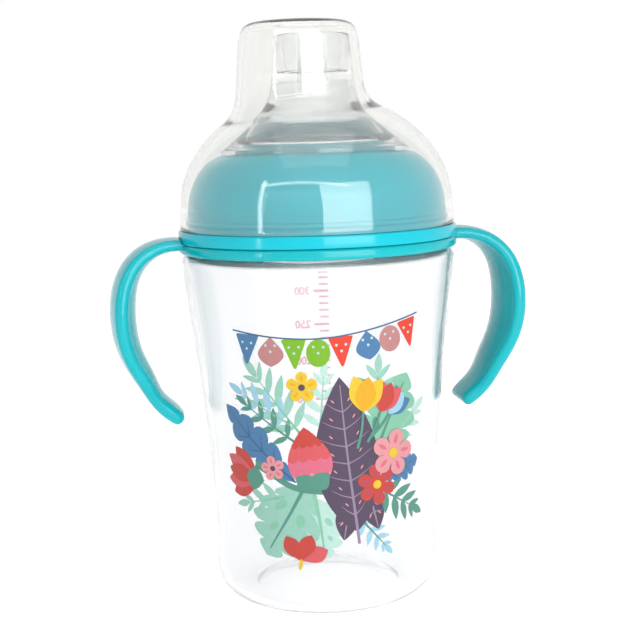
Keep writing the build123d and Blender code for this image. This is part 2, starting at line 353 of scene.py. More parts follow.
class Recipe:
    """Node work shared by the finishes: a Principled shader with noise-driven gloss, tone and relief."""

    def __init__(self, name: str) -> None:
        """Starts a material of that name."""
        self.material = bpy.data.materials.new(name)
        self.material.use_nodes = True
        self.nodes = self.material.node_tree.nodes
        self.links = self.material.node_tree.links
        self.shader = self.nodes["Principled BSDF"]
        self.place = self.nodes.new("ShaderNodeTexCoord").outputs["Object"]

    def set(self, **values: float | tuple) -> "Recipe":
        """Sets uniform values on the shader's own sockets, named with underscores for spaces."""
        for key, value in values.items():
            self.shader.inputs[key.replace("_", " ")].default_value = value
        return self

    def noise(self, scale: float, detail: float, stretch: Place = (1, 1, 1)) -> bpy.types.NodeSocket:
        """Adds a noise texture.

        Args:
            scale: Noise scale per metre.
            detail: Octaves.
            stretch: Scale of each axis.

        Returns:
            The noise's value output.
        """
        mapping = self.nodes.new("ShaderNodeMapping")
        mapping.inputs["Scale"].default_value = stretch
        texture = self.nodes.new("ShaderNodeTexNoise")
        texture.inputs["Scale"].default_value = scale
        texture.inputs["Detail"].default_value = detail
        self.links.new(self.place, mapping.inputs["Vector"])
        self.links.new(mapping.outputs["Vector"], texture.inputs["Vector"])
        return texture.outputs["Fac"]

    def ranged(self, source: bpy.types.NodeSocket, low: float, high: float, socket: str) -> "Recipe":
        """Drives a shader socket between two values by a noise.

        Args:
            source: The noise's output.
            low: Value where the noise is low.
            high: Value where the noise is high.
            socket: Name of the shader's socket.

        Returns:
            This recipe.
        """
        fit = self.nodes.new("ShaderNodeMapRange")
        fit.inputs["From Min"].default_value = NOISE_SPAN[0]
        fit.inputs["From Max"].default_value = NOISE_SPAN[1]
        fit.inputs["To Min"].default_value = low
        fit.inputs["To Max"].default_value = high
        self.links.new(source, fit.inputs["Value"])
        self.links.new(fit.outputs["Result"], self.shader.inputs[socket])
        return self

    def toned(self, source: bpy.types.NodeSocket, low: Colour, high: Colour) -> "Recipe":
        """Drives the base colour between two tones by a noise.

        Args:
            source: The noise's output.
            low: Tone where the noise is low.
            high: Tone where the noise is high.

        Returns:
            This recipe.
        """
        ramp = self.nodes.new("ShaderNodeValToRGB")
        for stop, position, tone in zip(ramp.color_ramp.elements, NOISE_SPAN, (low, high)):
            stop.position = position
            stop.color = (*tone, 1)
        self.links.new(source, ramp.inputs["Fac"])
        self.links.new(ramp.outputs["Color"], self.shader.inputs["Base Color"])
        return self

    def relief(self, source: bpy.types.NodeSocket, strength: float, depth: float) -> "Recipe":
        """Adds a bump whose depth is in millimetres."""
        bump = self.nodes.new("ShaderNodeBump")
        bump.inputs["Strength"].default_value = strength
        bump.inputs["Distance"].default_value = depth * MM
        self.links.new(source, bump.inputs["Height"])
        self.links.new(bump.outputs["Normal"], self.shader.inputs["Normal"])
        return self


@dataclass(frozen=True)
class ClearPlastic:
    """Clear moulded plastic with a faint haze and the slow waves of a blown or moulded wall."""

    name: str
    tint: Colour
    ior: float
    gloss: tuple[float, float]
    clearness: float
    wave: float = 0.05
    shade: float = 0.985

    def material(self) -> bpy.types.Material:
        """Makes the material."""
        recipe = Recipe(self.name)
        recipe.set(Transmission_Weight=self.clearness, IOR=self.ior)
        darker = tuple(part * self.shade for part in self.tint)
        recipe.toned(recipe.noise(18.0, 2.0), darker, self.tint)
        recipe.ranged(recipe.noise(240.0, 4.0), *self.gloss, "Roughness")
        recipe.relief(recipe.noise(26.0, 1.0, (1, 1, 0.5)), self.wave, 0.5)
        return recipe.material


@dataclass(frozen=True)
class Silicone:
    """Milky, satin silicone rubber."""

    name: str
    tint: Colour
    clearness: float
    ior: float = 1.36
    shade: float = 0.97

    def material(self) -> bpy.types.Material:
        """Makes the material."""
        recipe = Recipe(self.name)
        recipe.set(Transmission_Weight=self.clearness, IOR=self.ior)
        darker = tuple(part * self.shade for part in self.tint)
        recipe.toned(recipe.noise(40.0, 3.0), darker, self.tint)
        recipe.ranged(recipe.noise(300.0, 3.0), 0.05, 0.09, "Roughness")
        recipe.relief(recipe.noise(60.0, 2.0), 0.05, 0.2)
        return recipe.material


@dataclass(frozen=True)
class MouldedPlastic:
    """Glossy, slightly translucent moulded plastic, with light that soaks a few millimetres in."""

    name: str
    colour: Colour
    shade: Colour
    soak: float
    soak_depth: float = 0.006
    gloss: tuple[float, float] = (0.12, 0.2)
    glow: float = 0.2

    def material(self) -> bpy.types.Material:
        """Makes the material."""
        recipe = Recipe(self.name)
        recipe.set(IOR=1.4, Subsurface_Weight=self.soak, Subsurface_Scale=self.soak_depth, Coat_Weight=0.12)
        recipe.set(Subsurface_Radius=(0.3, 1.0, 1.0), Coat_Roughness=0.06, Transmission_Weight=self.glow)
        recipe.set(Specular_IOR_Level=0.3)
        recipe.toned(recipe.noise(30.0, 3.0), self.shade, self.colour)
        recipe.ranged(recipe.noise(420.0, 4.0), *self.gloss, "Roughness")
        recipe.relief(recipe.noise(90.0, 2.0), 0.05, 0.15)
        return recipe.material


@dataclass(frozen=True)
class PrintInk:
    """Cured print ink: even colour with a fine screen-print grain and a soft gloss."""

    ink: Ink
    strength: float = 0.6
    sheer: float = 0.0
    shade: float = 0.93

    def material(self) -> bpy.types.Material:
        """Makes the material."""
        recipe = Recipe(f"ink_{self.ink.name.lower()}")
        recipe.set(IOR=1.4, Transmission_Weight=self.sheer)
        full = tuple(part * self.strength for part in self.ink.value)
        deeper = tuple(part * self.shade for part in full)
        recipe.toned(recipe.noise(700.0, 5.0), deeper, full)
        recipe.ranged(recipe.noise(1500.0, 2.0), 0.32, 0.42, "Roughness")
        recipe.relief(recipe.noise(4200.0, 2.0), 0.1, 0.01)
        return recipe.material


@dataclass(frozen=True)
class FloorPaint:
    """Matt, nearly white studio acrylic, lit a little from below."""

    name: str = "studio_floor"
    glow: float = 0.78

    def material(self) -> bpy.types.Material:
        """Makes the material."""
        recipe = Recipe(self.name)
        recipe.toned(recipe.noise(6.0, 3.0), (0.60, 0.60, 0.60), (0.62, 0.62, 0.62))
        recipe.ranged(recipe.noise(60.0, 2.0), 0.75, 0.85, "Roughness")
        recipe.set(Emission_Color=(1, 1, 1, 1), Emission_Strength=self.glow)
        return recipe.material


@dataclass
class Finishes:
    """Materials of the cup, each made once."""

    clear_body: bpy.types.Material = field(
        default_factory=ClearPlastic(
            name="clear_body",
            tint=(0.972, 0.976, 0.984),
            ior=1.3,
            gloss=(0.03, 0.07),
            clearness=0.90,
        ).material
    )
    clear_cap: bpy.types.Material = field(
        default_factory=ClearPlastic(
            name="clear_cap",
            tint=(0.966, 0.966, 0.948),
            ior=1.42,
            gloss=(0.01, 0.03),
            clearness=0.97,
        ).material
    )
    silicone: bpy.types.Material = field(
        default_factory=Silicone(name="silicone", tint=(0.962, 0.974, 0.978), clearness=0.94).material
    )
    aqua_ring: bpy.types.Material = field(
        default_factory=MouldedPlastic(
            name="aqua_ring",
            colour=(0.001, 0.45, 0.50),
            shade=(0.001, 0.41, 0.46),
            soak=0.5,
        ).material
    )
    aqua_collar: bpy.types.Material = field(
        default_factory=MouldedPlastic(
            name="aqua_collar",
            colour=(0.001, 0.51, 0.62),
            shade=(0.001, 0.47, 0.57),
            soak=0.3,
        ).material
    )
    inks: dict[Ink, bpy.types.Material] = field(default_factory=dict)

    def ink(self, ink: Ink) -> bpy.types.Material:
        """Returns the material of one print colour."""
        if ink not in self.inks:
            thin = PrintInk(ink, strength=1.0, sheer=0.5)
            self.inks[ink] = (thin if ink is Ink.SCALE_PINK else PrintInk(ink)).material()
        return self.inks[ink]


def settle(piece: bpy.types.Object, body: Body, material: bpy.types.Material) -> None:
    """Gives a piece its material and the body that it rides on."""
    piece.data.materials.clear()
    piece.data.materials.append(material)
    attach(piece, body.value)


# ---------------------------------------------------------------- the cup


@dataclass
class Bottle:
    """Clear waisted body with its rounded heel, pushed-up base, spigot and threaded neck."""

    finishes: Finishes
    wall: float = 2.0
    heel: float = 9.0
    foot_radius: float = 25.6
    foot_width: float = 3.0
    base_rise: float = 6.0
    shoulder_round: float = 3.0
    shoulder_height: float = 107.2
    spigot: float = 36.7
    spigot_top: float = 110.4
    neck: float = 35.0
    neck_wall: float = 1.6
    lip_round: float = 0.5
    thread_crest: float = 36.3
    thread_start: float = 115.0
    side: tuple[Point, ...] = (
        (34.6, 9),
        (34.4, 22),
        (35.66, 45.8),
        (37.95, 70.5),
        (40.54, 91.9),
        (41.8, 104.2),
    )

    @cached_property
    def side_line(self) -> list[Point]:
        """The body's side, sampled finely."""
        return smooth_line(self.side, 12)

    @property
    def recess(self) -> float:
        """Radius of the hollow under the base."""
        return self.foot_radius - self.foot_width

    @property
    def dish(self) -> float:
        """Radius of the sphere that the pushed-up base is part of."""
        return (self.recess**2 + self.base_rise**2) / (2 * self.base_rise)

    @property
    def inner_heel(self) -> float:
        """Radius of the heel's round on the inside."""
        return self.heel - self.wall

    def radius_at(self, height: float) -> float:
        """Outside radius of the body's side at a height, in millimetres."""
        line = self.side_line
        for (low_r, low_z), (high_r, high_z) in zip(line, line[1:]):
            if low_z <= height <= high_z:
                return low_r + (high_r - low_r) * (height - low_z) / (high_z - low_z)
        return line[0][0] if height < line[0][1] else line[-1][0]

    def room_at(self, height: float) -> float:
        """Measures the room inside the body at one height.

        Args:
            height: Height above the table, in millimetres.

        Returns:
            Area of the drink's surface there, in square millimetres.
        """
        mound = max(self.dish**2 - (height - self.base_rise - self.wall + self.dish) ** 2, 0.0)
        if height < self.heel:
            reach = self.foot_radius + math.sqrt(max(self.inner_heel**2 - (self.heel - height) ** 2, 0.0))
        else:
            reach = self.radius_at(height) - self.wall
        return math.pi * (reach**2 - mound)

    def fill_height(self, volume: float, step: float = 0.25) -> float:
        """Finds how high the drink stands.

        Args:
            volume: Drink in the body, in millilitres.
            step: Thickness of the slices that are added up, in millimetres.

        Returns:
            Height of the surface above the table, in millimetres.
        """
        height = self.wall
        held = 0.0
        while held < volume * MILLILITRE:
            held += self.room_at(height + step / 2) * step
            height += step
        return height

    def outline(self) -> Outline:
        """Draws the wall's closed outline, outside first."""
        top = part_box("bottle")[1].z / MM
        dish = self.dish
        dish_angle = math.degrees(math.asin(self.recess / dish))
        inner = [(radius - self.wall, height) for radius, height in reversed(self.side)]
        edge = self.side[-1][0] - self.shoulder_round
        below = self.shoulder_height - self.wall
        line = Outline()
        line.arc((0, self.base_rise - dish), (dish, dish), 90, -dish_angle, 24)
        line.to((self.foot_radius, 0))
        line.arc((self.foot_radius, self.heel), (self.heel, self.heel), -90, 90, 18)
        line.through(self.side, 10)
        line.arc((edge, self.side[-1][1]), (self.shoulder_round, self.shoulder_round), 0, 90, 10)
        line.to((self.spigot, self.shoulder_height), (self.spigot, self.spigot_top))
        line.to((self.neck, self.spigot_top + self.spigot - self.neck))
        lip = (self.neck - self.lip_round, top - self.lip_round)
        line.arc(lip, (self.lip_round, self.lip_round), 0, 90, 4)
        line.to((self.neck - self.neck_wall, top), (self.neck - self.neck_wall, below), (edge, below))
        inner_round = self.shoulder_round - self.wall
        line.arc((edge, self.side[-1][1]), (inner_round, inner_round), 90, -90, 6)
        line.through(inner, 10)
        line.arc((self.foot_radius, self.heel), (self.inner_heel, self.inner_heel), 0, -90, 18)
        line.to((self.recess, self.wall))
        line.arc((0, self.base_rise + self.wall - dish), (dish, dish), 90 - dish_angle, dish_angle, 24)
        return line

    def build(self) -> None:
        """Builds the wall and its thread, in place of the plain part."""
        wall = lathe("bottle_wall", self.outline())
        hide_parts("bottle")
        settle(wall, Body.BOTTLE, self.finishes.clear_body)
        ridge = Thread(self.neck - THREAD_BURY, self.thread_crest, self.thread_start)
        thread = ridge.build("bottle_thread")
        settle(thread, Body.BOTTLE, self.finishes.clear_body)


@dataclass
class HandleRing:
    """Ring with its two ear-shaped handles, which keeps the part's own shape."""

    finishes: Finishes

    def build(self) -> None:
        """Dresses the ring."""
        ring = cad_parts["handle_ring"]
        ring.data.materials.clear()
        ring.data.materials.append(self.finishes.aqua_ring)


@dataclass
class Collar:
    """Aqua screw collar with its flange, its bead for the cap, its dome and the lip round the spout."""

    finishes: Finishes
    bore: float = 37.0
    flange: tuple[float, float] = (110.5, 114.1)
    flange_radius: float = 42.5
    flange_round: float = 0.4
    flange_top_round: float = 0.65
    wall_radius: float = 39.4
    wall_fillet: float = 0.3
    bead: float = 0.8
    bead_height: float = 116.7
    dome_base: float = 118.0
    dome_centre: float = 26.0
    plate_radius: float = 28.7
    plate: tuple[float, float] = (134.2, 136.2)
    lip: tuple[float, float] = (22.9, 24.4)
    lip_top: float = 138.2
    lip_fillet: float = 0.4
    lip_round: float = 0.5
    seat: tuple[float, float] = (32.0, 35.6)
    seat_bevel: tuple[float, float] = (2.7, 2.0)
    seat_bottom: float = 123.5
    ceiling: float = 127.3
    thread_crest: float = 35.7
    thread_start: float = 113.15

    def outline(self) -> Outline:
        """Draws the collar's closed outline from the bottom of its bore."""
        low, high = self.flange
        edge = self.flange_radius - self.flange_round
        across = self.wall_radius - self.dome_centre
        end = math.acos((self.plate_radius - self.dome_centre) / across)
        tall = (self.plate[1] - self.dome_base) / math.sin(end)
        top_round, fillet = self.flange_top_round, self.wall_fillet
        bevel_in, bevel_down = self.seat_bevel
        line = Outline()
        line.to((self.bore, low), (edge, low))
        line.arc((edge, low + self.flange_round), (self.flange_round, self.flange_round), -90, 90, 8)
        line.arc((self.flange_radius - top_round, high - top_round), (top_round, top_round), 0, 90, 6)
        line.to((self.wall_radius + fillet, high))
        line.arc((self.wall_radius + fillet, high + fillet), (fillet, fillet), -90, -90, 4)
        line.arc((self.wall_radius, self.bead_height), (self.bead, self.bead), -90, 180, 10)
        line.arc((self.dome_centre, self.dome_base), (across, tall), 0, math.degrees(end), 40)
        foot = (self.lip[1] + self.lip_fillet, self.plate[1] + self.lip_fillet)
        line.arc(foot, (self.lip_fillet, self.lip_fillet), -90, -90, 4)
        crown = (self.lip[1] - self.lip_round, self.lip_top - self.lip_round)
        line.arc(crown, (self.lip_round, self.lip_round), 0, 90, 4)
        line.to((self.lip[0], self.lip_top), (self.lip[0], self.plate[0]))
        line.to((self.seat[0] - bevel_in, self.plate[0]), (self.seat[0], self.plate[0] - bevel_down))
        line.to((self.seat[0], self.ceiling), (self.seat[1], self.ceiling))
        line.to((self.seat[1], self.seat_bottom))
        line.to((self.bore, self.seat_bottom - self.bore + self.seat[1]))
        return line

    def build(self) -> None:
        """Builds the collar and its thread, in place of the plain part."""
        shell = lathe("collar_shell", self.outline())
        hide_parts("collar")
        settle(shell, Body.COLLAR, self.finishes.aqua_collar)
        ridge = Thread(self.bore + THREAD_BURY, self.thread_crest, self.thread_start)
        thread = ridge.build("collar_thread")
        settle(thread, Body.COLLAR, self.finishes.aqua_collar)


@dataclass
class Spout:
    """Soft spout: clamped flange, skirt over the collar's lip, flare, tube, well and slit valve."""

    finishes: Finishes
    wall: float = 1.8
    neck: float = 35.0
    neck_top: float = 125.5
    ceiling: float = 127.3
    hat: tuple[float, float] = (31.7, 133.9)
    hat_bevel: tuple[float, float] = (2.7, 2.0)
    throat: float = 20.8
    throat_rise: float = 2.45
    groove: tuple[float, float] = (24.7, 138.5)
    skirt: tuple[float, float] = (28.5, 136.35)
    skirt_edge: float = 1.4
    skirt_round: float = 0.5
    flare: tuple[Point, Point] = ((0.55, 0.29), (0.13, 0.62))
    inner_flare: tuple[Point, Point] = ((0.065, 0.66), (0.36, 0.40))
    tube_foot: Point = (12.7, 157.0)
    tube_wall: float = 2.25
    tip: Point = (11.4, 171.2)
    rim_round: float = 0.9
    well: tuple[float, float] = (9.3, 8.3)
    well_round: float = 0.5
    well_foot_round: float = 1.2
    floor_top: float = 159.5
    floor_bottom: float = 157.2
    valve: Point = (4.5, 6.3)
    valve_crown: float = 3.6
    valve_wall: float = 1.1
    valve_fillet: float = 0.3
    slit_size: tuple[float, float] = (0.2, 3.0)
    slit_span: tuple[float, float] = (-2.6, 1.0)

    def outline(self) -> Outline:
        """Draws the closed outline: under the flange, up the outside, down the well and back inside."""
        outer, hat_top = self.hat
        radius, bottom = self.skirt
        top = bottom + self.skirt_edge
        rise = self.tube_foot[1] - top
        spread = radius - self.tube_foot[0]
        rim = (self.tip[0] - self.rim_round, self.tip[1] - self.rim_round)
        straight = self.floor_top + self.valve[1] - self.valve_crown
        foot = self.tube_foot[0]
        bevel_in, bevel_down = self.hat_bevel
        line = Outline()
        line.to((self.throat, hat_top - self.wall), (outer - 2 * self.wall, hat_top - self.wall))
        line.to((outer - self.wall, hat_top - 2 * self.wall), (outer - self.wall, self.neck_top))
        line.to((self.neck, self.neck_top), (self.neck, self.ceiling), (outer, self.ceiling))
        gullet = self.throat + self.wall
        line.to((outer, hat_top - bevel_down), (outer - bevel_in, hat_top), (gullet, hat_top))
        line.to((gullet, self.groove[1]), self.groove, (self.groove[0], bottom), (radius, bottom))
        edge = self.skirt_round
        line.arc((radius - edge, top - edge), (edge, edge), 0, 60, 4)
        line.through(
            (
                (radius - edge - 0.1, top + 0.05),
                *((foot + spread * out, top + rise * up) for out, up in self.flare),
                self.tube_foot,
                (self.tip[0] + 0.3, self.tip[1] - 5),
                (self.tip[0], rim[1]),
            ),
            10,
        )
        line.arc(rim, (self.rim_round, self.rim_round), 0, 90, 8)
        mouth = (self.well[0] + self.well_round, self.tip[1] - self.well_round)
        line.arc(mouth, (self.well_round, self.well_round), 90, 90, 5)
        corner = (self.well[1] - self.well_foot_round, self.floor_top + self.well_foot_round)
        line.arc(corner, (self.well_foot_round, self.well_foot_round), 0, -90, 6)
        root = (self.valve[0] + self.valve_fillet, self.floor_top + self.valve_fillet)
        line.arc(root, (self.valve_fillet, self.valve_fillet), -90, -90, 3)
        line.arc((0, straight), (self.valve[0], self.valve_crown), 0, 90, 14)
        hollow = self.valve[0] - self.valve_wall
        line.arc((0, straight), (hollow, self.valve_crown - self.valve_wall), 90, -90, 14)
        inside = foot - self.tube_wall
        line.to((hollow, self.floor_bottom), (inside, self.floor_bottom))
        line.through(
            (
                (inside, self.floor_bottom),
                *((foot + spread * out - self.wall, top + rise * up) for out, up in self.inner_flare),
                (self.throat, bottom + self.throat_rise),
            ),
            8,
        )
        return line

    def build(self) -> None:
        """Builds the spout and cuts the valve's slit, in place of the plain part."""
        shell = lathe("spout_shell", self.closed(self.outline()), 192)
        cutter = self.slit_cutter()
        cut = shell.modifiers.new("slit", "BOOLEAN")
        cut.operation = "DIFFERENCE"
        cut.solver = "EXACT"
        cut.object = cutter
        bpy.context.view_layer.update()
        graph = bpy.context.evaluated_depsgraph_get()
        mesh = bpy.data.meshes.new_from_object(shell.evaluated_get(graph))
        shell.modifiers.clear()
        shell.data = mesh
        bpy.data.objects.remove(cutter)
        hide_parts("spout")
        settle(shell, Body.SPOUT, self.finishes.silicone)

    def closed(self, line: Outline) -> Outline:
        """Returns the outline without a doubled end point."""
        if math.dist(line.points[0], line.points[-1]) < NEAR:
            line.points.pop()
        return line

    def slit_cutter(self) -> bpy.types.Object:
        """Makes the lens-shaped blade that cuts the valve's slit."""
        work = bmesh.new()
        rows = []
        thickness, reach = self.slit_size
        count = 16
        for beyond in self.slit_span:
            height = self.floor_top + self.valve[1] + beyond
            ring = []
            for index in range(count):
                angle = 2 * math.pi * index / count
                corner = Vector((thickness * math.sin(angle), reach * math.cos(angle), height))
                ring.append(work.verts.new(corner * MM))
            rows.append(ring)
        grid_faces(work, rows, False)
        work.faces.new(rows[0])
        work.faces.new(rows[1])
        return new_piece("slit_blade", finished_mesh("slit_blade", work))


@dataclass
class DomeCap:
    """Clear dome cap whose chimney stands off the cup's axis and blends into the dome."""

    finishes: Finishes
    wall: float = 1.5
    rim_radius: float = 41.9
    dome_radius: float = 41.5
    dome_base: float = 120.1
    dome_rise: float = 34.2
    offset: float = -4.0
    foot_radius: float = 20.5
    foot_height: float = 140.62
    top_radius: float = 17.7
    corner: float = 4.2
    blend: float = 6.0
    rim_tuck: float = 0.35
    sides: int = 240

    def dome_reach(self, angle: float, height: float, inset: float) -> float:
        """Measures the dome from the chimney's axis.

        Args:
            angle: The direction, in radians.
            height: Height on the wall.
            inset: How far inside the outer face, in millimetres.

        Returns:
            Distance to the dome's wall.
        """
        if height <= self.dome_base:
            share = (height - self.bottom) / (self.dome_base - self.bottom)
            radius = self.rim_radius + (self.dome_radius - self.rim_radius) * share - inset
        else:
            up = min(1.0, (height - self.dome_base) / (self.dome_rise - inset))
            radius = (self.dome_radius - inset) * math.sqrt(1 - up**2)
        across = self.offset * math.sin(angle)
        return -self.offset * math.cos(angle) + math.sqrt(max(0.0, radius**2 - across**2))

    def chimney_reach(self, height: float, inset: float) -> float:
        """Radius of the chimney's drafted wall at a height."""
        share = (height - self.foot_height) / (self.top - inset - self.foot_height)
        return self.foot_radius + (self.top_radius - self.foot_radius) * share - inset

    @cached_property
    def bottom(self) -> float:
        """Height of the cap's rim, from the part."""
        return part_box("cap")[0].z / MM

    @cached_property
    def top(self) -> float:
        """Height of the cap's top, from the part."""
        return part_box("cap")[1].z / MM

    def profile(self, angle: float, inset: float) -> list[Point]:
        """Draws the wall in one direction from the chimney's axis.

        Args:
            angle: The direction, in radians.
            inset: How far inside the outer face, in millimetres.

        Returns:
            Points (distance, height) from the top's middle down to the rim.
        """
        joint = self.joint(angle, inset)
        top = self.top - inset
        corner = self.corner - inset
        flat = self.top_radius - inset - corner
        line = Outline()
        line.to(*[(flat * step / 8, top) for step in range(8)])
        line.arc((flat, top - corner), (corner, corner), 90, -86, 12)
        upper = joint + self.blend
        start = top - corner
        for step in range(1, 13):
            height = start + (upper - start) * step / 12
            line.to((self.chimney_reach(height, inset), height))
        knee = (self.chimney_reach(joint, inset), joint)
        lower = self.along_dome(angle, inset, joint)
        begin = line.points[-1]
        for step in range(1, 11):
            t = step / 10
            pulls = ((1 - t) ** 2, 2 * t * (1 - t), t**2)
            reach = sum(pull * corner[0] for pull, corner in zip(pulls, (begin, knee, lower)))
            height = sum(pull * corner[1] for pull, corner in zip(pulls, (begin, knee, lower)))
            line.to((reach, height))
        rise = self.dome_rise - inset
        start_up = math.asin(min(1.0, (lower[1] - self.dome_base) / rise))
        for step in range(1, 41):
            height = self.dome_base + rise * math.sin(start_up * (1 - step / 40))
            line.to((self.dome_reach(angle, height, inset), height))
        for step in range(1, 5):
            height = self.dome_base + (self.bottom + self.rim_tuck - self.dome_base) * step / 4
            line.to((self.dome_reach(angle, height, inset), height))
        rim = self.dome_reach(angle, self.bottom, inset)
        tuck = self.rim_tuck if inset == 0 else -self.rim_tuck
        line.to((rim - tuck * 0.3, self.bottom + 0.1), (rim - tuck, self.bottom))
        return line.points

    def joint(self, angle: float, inset: float) -> float:
        """Finds where the chimney meets the dome.

        Args:
            angle: The direction, in radians.
            inset: How far inside the outer face, in millimetres.

        Returns:
            The height at which they meet.
        """
        low, high = self.dome_base, self.dome_base + self.dome_rise - inset
        for _ in range(40):
            middle = (low + high) / 2
            if self.dome_reach(angle, middle, inset) > self.chimney_reach(middle, inset):
                low = middle
            else:
                high = middle
        return (low + high) / 2

    def along_dome(self, angle: float, inset: float, joint: float, step: float = 0.05) -> Point:
        """Walks down the dome from the joint by the length of the blend.

        Args:
            angle: The direction, in radians.
            inset: How far inside the outer face, in millimetres.
            joint: Height of the joint.
            step: Length of one stride.

        Returns:
            The point there, as (distance, height).
        """
        start = (self.dome_reach(angle, joint, inset), joint)
        height = joint
        while height > self.dome_base:
            height -= step
            if math.dist(start, (self.dome_reach(angle, height, inset), height)) >= self.blend:
                break
        return self.dome_reach(angle, height, inset), height

    def build(self) -> None:
        """Builds the cap's outer and inner faces and joins them at the rim."""
        work = bmesh.new()
        layers = []
        for inset in (0.0, self.wall):
            columns = [self.profile(2 * math.pi * side / self.sides, inset) for side in range(self.sides)]
            layer = [[work.verts.new((self.offset * MM, 0, columns[0][0][1] * MM))]]
            for row in range(1, len(columns[0])):
                ring = []
                for side, column in enumerate(columns):
                    reach, height = column[row]
                    spot = Vector(around(reach, 2 * math.pi * side / self.sides, height))
                    ring.append(work.verts.new(spot + Vector((self.offset * MM, 0, 0))))
                layer.append(ring)
            layers.append(layer)
        outer, inner = layers
        grid_faces(work, outer + inner[::-1], False)
        shell = new_piece("cap_shell", finished_mesh("cap_shell", work))
        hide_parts("cap")
        settle(shell, Body.CAP, self.finishes.clear_cap)


# ---------------------------------------------------------------- printed picture


def turned(points: Iterable[Point], at: Point, degrees: float = 0.0) -> list[Point]:
    """Turns points anticlockwise about the origin and moves them to a place."""
    angle = math.radians(degrees)
    cos, sin = math.cos(angle), math.sin(angle)
    return [(at[0] + x * cos - y * sin, at[1] + x * sin + y * cos) for x, y in points]


def ribbon(knots: Sequence[Point], width: float, tip: float = 0.3) -> list[Point]:
    """Draws a tapering stem.

    Args:
        knots: Points along its middle.
        width: Width at its start.
        tip: Width at its end, as a share of the width.

    Returns:
        The stem's closed outline.
    """
    line = smooth_line(knots, 8)
    left, right = [], []
    for index, (x, y) in enumerate(line):
        before, after = line[max(0, index - 1)], line[min(len(line) - 1, index + 1)]
        size = math.dist(before, after)
        across = (-(after[1] - before[1]) / size, (after[0] - before[0]) / size)
        half = width / 2 * (1 + (tip - 1) * index / (len(line) - 1))
        left.append((x + across[0] * half, y + across[1] * half))
        right.append((x - across[0] * half, y - across[1] * half))
    return left + right[::-1]


def leaf(
    length: float,
    width: float,
    bend: float = 0.0,
    widest: float = 0.45,
    lobes: int = 0,
    notch: float = 0.0,
    lift: float = 0.0,
) -> list[Point]:
    """Draws a leaf that grows upwards from its base.

    Args:
        length: Base to tip.
        width: Across its widest part.
        bend: How far the tip leans to the right, as a share of the length.
        widest: Where it is widest, as a share of the length.
        lobes: Lobes on each side.
        notch: Depth of the notches between lobes, as a share of the half width.
        lift: How far the lobes sweep up, as a share of the half width.

    Returns:
        The leaf's closed outline.
    """
    power = math.log(0.5) / math.log(widest)
    steps = max(18, lobes * 12)
    sides: list[list[Point]] = [[], []]
    for index in range(steps + 1):
        t = index / steps
        half = width / 2 * math.sin(math.pi * t**power) ** 0.85
        if lobes:
            wave = (t * lobes) % 1.0
            half *= 1 - notch * (1 - abs(math.sin(math.pi * wave)) ** 0.55)
        centre = (bend * length * t * t, length * t)
        slope = 2 * bend * t
        size = math.hypot(1, slope)
        for side, sign in ((0, 1), (1, -1)):
            sides[side].append(
                (
                    centre[0] + sign * half / size + slope * half * lift / size,
                    centre[1] - sign * half * slope / size + half * lift / size,
                )
            )
    return sides[0] + sides[1][-2:0:-1]


def flower(petals: int, radius: float, waist: float = 0.4, fullness: float = 0.55) -> list[Point]:
    """Draws a flower with rounded petals about the origin."""
    found = []
    for index in range(petals * 20):
        angle = 2 * math.pi * index / (petals * 20)
        size = radius * (waist + (1 - waist) * abs(math.cos(petals * angle / 2)) ** fullness)
        found.append((size * math.sin(angle), size * math.cos(angle)))
    return found


def oval(width: float, height: float, steps: int = 28) -> list[Point]:
    """Draws an ellipse about the origin."""
    angles = [2 * math.pi * index / steps for index in range(steps)]
    return [(width / 2 * math.cos(angle), height / 2 * math.sin(angle)) for angle in angles]


def dash(width: float, height: float, power: float = 6.0, steps: int = 16) -> list[Point]:
    """Draws a soft-cornered bar about the origin.

    Args:
        width: Its length.
        height: Its thickness.
        power: How square its corners are, 2 for an ellipse.
        steps: Number of points.

    Returns:
        The bar's closed outline.
    """
    found = []
    for index in range(steps):
        angle = 2 * math.pi * index / steps
        across, up = math.cos(angle), math.sin(angle)
        x = math.copysign(abs(across) ** (2 / power), across)
        z = math.copysign(abs(up) ** (2 / power), up)
        found.append((x * width / 2, z * height / 2))
    return found


